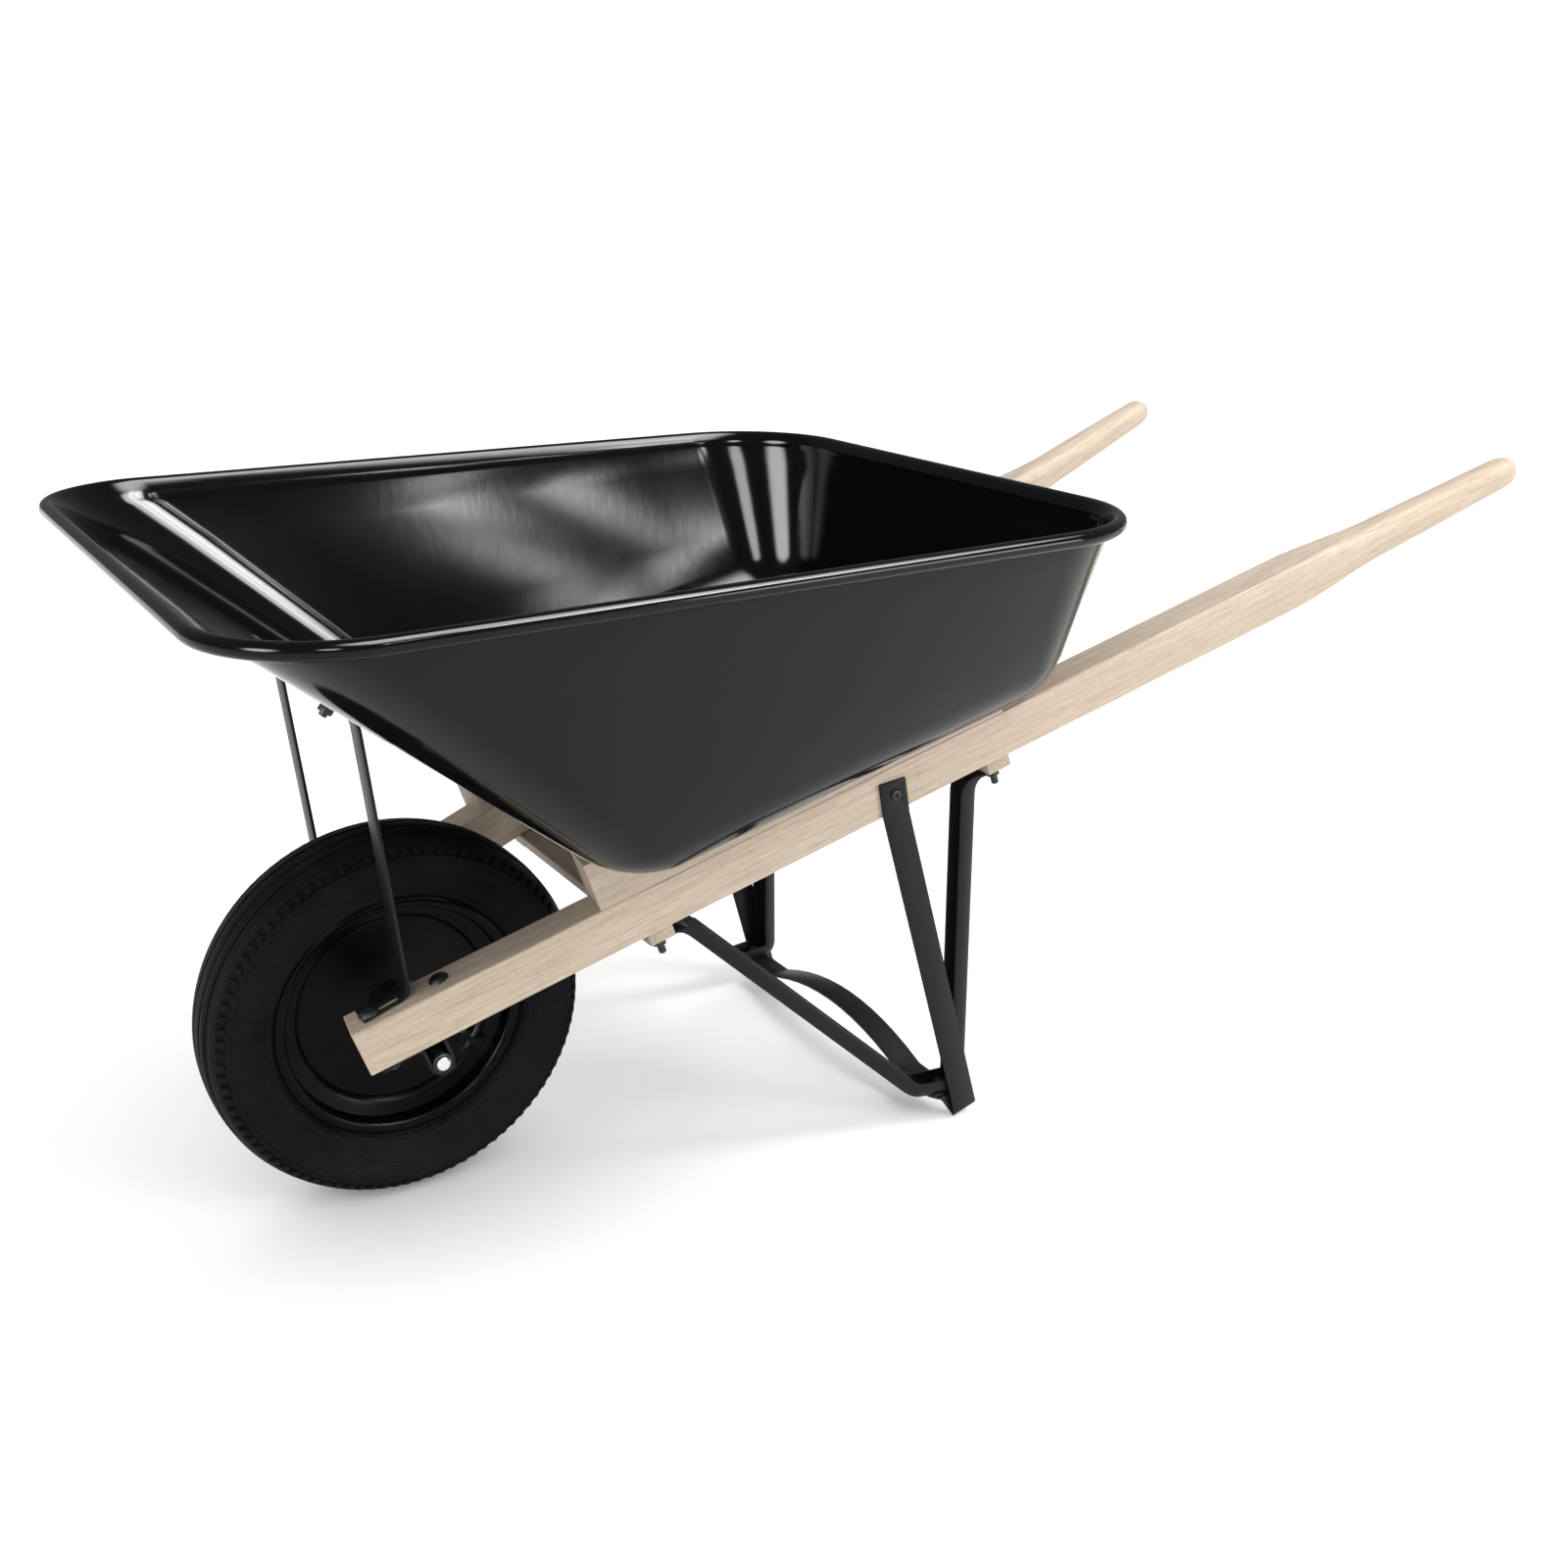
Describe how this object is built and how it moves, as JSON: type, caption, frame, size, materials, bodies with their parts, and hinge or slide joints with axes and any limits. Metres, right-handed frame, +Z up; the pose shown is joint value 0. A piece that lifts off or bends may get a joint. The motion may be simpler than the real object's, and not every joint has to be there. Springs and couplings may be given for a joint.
{
  "type": "wheelbarrow",
  "caption": "Garden wheelbarrow: a pressed steel tray on splayed wooden handles, a pneumatic wheel on a fixed axle in front and braced strap steel legs behind.",
  "frame": {"origin": "on the ground, under the middle of the bounding box", "axes": "+Z up, +X towards the grips so that the wheel is at -X, and +Y across, on the side away from the tyre valve"},
  "size_m": [1.4544, 0.775, 0.6696],
  "materials": {
    "tray_enamel": "semi-gloss black enamel on pressed steel, with soft highlights",
    "frame_enamel": "satin black enamel on strap steel",
    "rim_enamel": "semi-gloss black enamel on a pressed steel disc wheel",
    "bolt_black": "blackened steel fasteners",
    "zinc": "bright zinc plate",
    "tyre_rubber": "matte black rubber with a grey bloom",
    "tube_rubber": "smooth black rubber",
    "wood": "pale, fine grained hardwood, sanded and barely sealed",
    "shaded_wood": "pale hardwood, a little browner than the handles"
  },
  "bodies": {
    "chassis": {"tray": "tray_enamel", "handle_left": "wood", "handle_right": "wood", "crosspiece_front": "shaded_wood", "crosspiece_rear": "shaded_wood", "wedge_left": "shaded_wood", "wedge_right": "shaded_wood", "leg_brace": "frame_enamel", "axle_bracket_left": "frame_enamel", "axle_bracket_right": "frame_enamel", "nose_brace_left": "frame_enamel", "nose_brace_right": "frame_enamel", "leg_left": "frame_enamel", "leg_right": "frame_enamel", "foot_strap_left": "frame_enamel", "foot_strap_right": "frame_enamel", "strap_screw_left": "bolt_black", "axle_spacer_left": "bolt_black", "bracket_front_bolt_left": "bolt_black", "bracket_front_nut_left": "bolt_black", "bracket_rear_bolt_left": "bolt_black", "bracket_rear_nut_left": "bolt_black", "leg_front_bolt_left": "bolt_black", "leg_front_nut_left": "bolt_black", "leg_rear_bolt_left": "bolt_black", "leg_rear_nut_left": "bolt_black", "nose_bolt_left": "bolt_black", "nose_nut_left": "bolt_black", "foot_bolt_left": "bolt_black", "foot_nut_left": "bolt_black", "strap_screw_right": "bolt_black", "axle_spacer_right": "bolt_black", "bracket_front_bolt_right": "bolt_black", "bracket_front_nut_right": "bolt_black", "bracket_rear_bolt_right": "bolt_black", "bracket_rear_nut_right": "bolt_black", "leg_front_bolt_right": "bolt_black", "leg_front_nut_right": "bolt_black", "leg_rear_bolt_right": "bolt_black", "leg_rear_nut_right": "bolt_black", "nose_bolt_right": "bolt_black", "nose_nut_right": "bolt_black", "foot_bolt_right": "bolt_black", "foot_nut_right": "bolt_black", "axle": "zinc"},
    "wheel": {"tyre": "tyre_rubber", "inner_tube": "tube_rubber", "rim_half_left": "rim_enamel", "rim_half_right": "rim_enamel", "hub_tube": "rim_enamel", "bush_left": "bolt_black", "bush_right": "bolt_black", "valve_stem": "tube_rubber", "valve_cap": "tube_rubber"}
  },
  "joints": [
    {"name": "wheel_spin", "type": "hinge", "parent": "chassis", "child": "wheel", "pos_m": [-0.50952, 0, 0.19], "axis": [0, 1, 0], "continuous": true}
  ]
}
